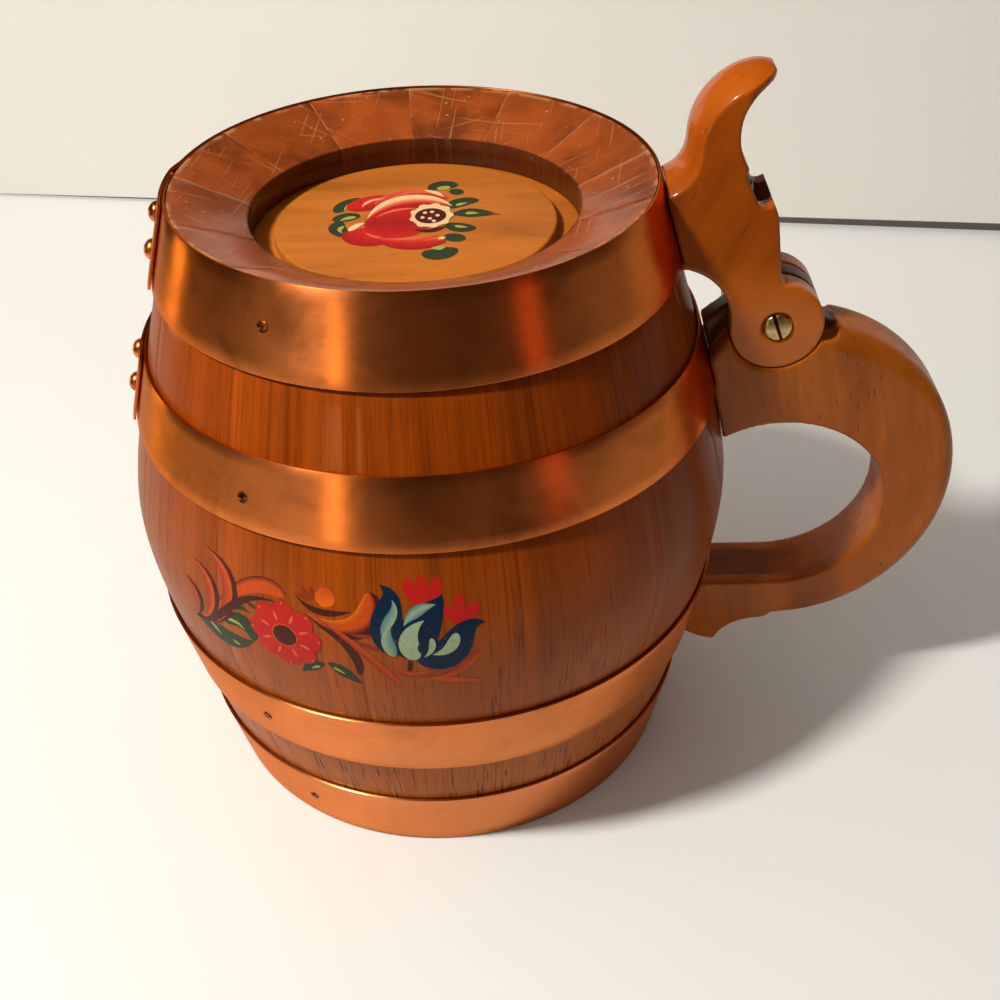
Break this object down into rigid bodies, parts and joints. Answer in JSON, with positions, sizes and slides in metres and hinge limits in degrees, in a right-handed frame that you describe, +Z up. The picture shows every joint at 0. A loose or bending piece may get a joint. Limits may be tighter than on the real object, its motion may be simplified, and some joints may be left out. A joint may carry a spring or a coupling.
{
  "type": "lidded barrel mug",
  "caption": "Coopered wooden mug shaped as a small barrel, with lapped copper hoops, a D-shaped side handle and a hinged lid that a wooden thumb lever opens.",
  "frame": {"origin": "centre of the foot's flat underside, on the table", "axes": "+Z up along the barrel's axis, +X towards the handle, +Y along the hinge's axis"},
  "size_m": [0.2297, 0.165, 0.1989],
  "materials": {
    "body_wood": "varnished, reddish orange-brown",
    "rim_wood": "varnished, reddish brown, scratched",
    "pale_board": "varnished, light orange",
    "handle_wood": "varnished, glossy where it is handled",
    "copper": "brushed copper sheet",
    "brass": "dull",
    "dark_steel": "dark, worn"
  },
  "bodies": {
    "mug": {"body_stave_01": "body_wood", "body_stave_02": "body_wood", "body_stave_03": "body_wood", "body_stave_04": "body_wood", "body_stave_05": "body_wood", "body_stave_06": "body_wood", "body_stave_07": "body_wood", "body_stave_08": "body_wood", "body_stave_09": "body_wood", "body_stave_10": "body_wood", "body_stave_11": "body_wood", "body_stave_12": "body_wood", "body_stave_13": "body_wood", "bottom_head": "pale_board", "upper_hoop": "copper", "upper_hoop_rivet_top": "copper", "upper_hoop_rivet_bottom": "copper", "upper_hoop_nail": "copper", "lower_hoop": "copper", "lower_hoop_rivet_top": "copper", "lower_hoop_rivet_bottom": "copper", "lower_hoop_nail": "copper", "foot_hoop": "copper", "foot_hoop_rivet_top": "copper", "foot_hoop_rivet_bottom": "copper", "foot_hoop_nail": "copper", "handle": "handle_wood", "handle_screw_upper": "brass", "handle_screw_lower": "brass"},
    "lid": {"lid_stave_01": "rim_wood", "lid_stave_02": "rim_wood", "lid_stave_03": "rim_wood", "lid_stave_04": "rim_wood", "lid_stave_05": "rim_wood", "lid_stave_06": "rim_wood", "lid_stave_07": "rim_wood", "lid_stave_08": "rim_wood", "lid_stave_09": "rim_wood", "lid_stave_10": "rim_wood", "lid_stave_11": "rim_wood", "lid_stave_12": "rim_wood", "lid_stave_13": "rim_wood", "lid_head": "pale_board", "lid_hoop": "copper", "lid_hoop_rivet_top": "copper", "lid_hoop_rivet_bottom": "copper", "lid_hoop_nail": "copper", "thumb_lever": "handle_wood", "hinge_screw": "brass", "lid_screw": "dark_steel"}
  },
  "joints": [
    {"name": "lid_hinge", "type": "hinge", "parent": "mug", "child": "lid", "pos_m": [0.0926, 0, 0.132], "axis": [0, 1, 0], "range_deg": [0, 88]}
  ]
}
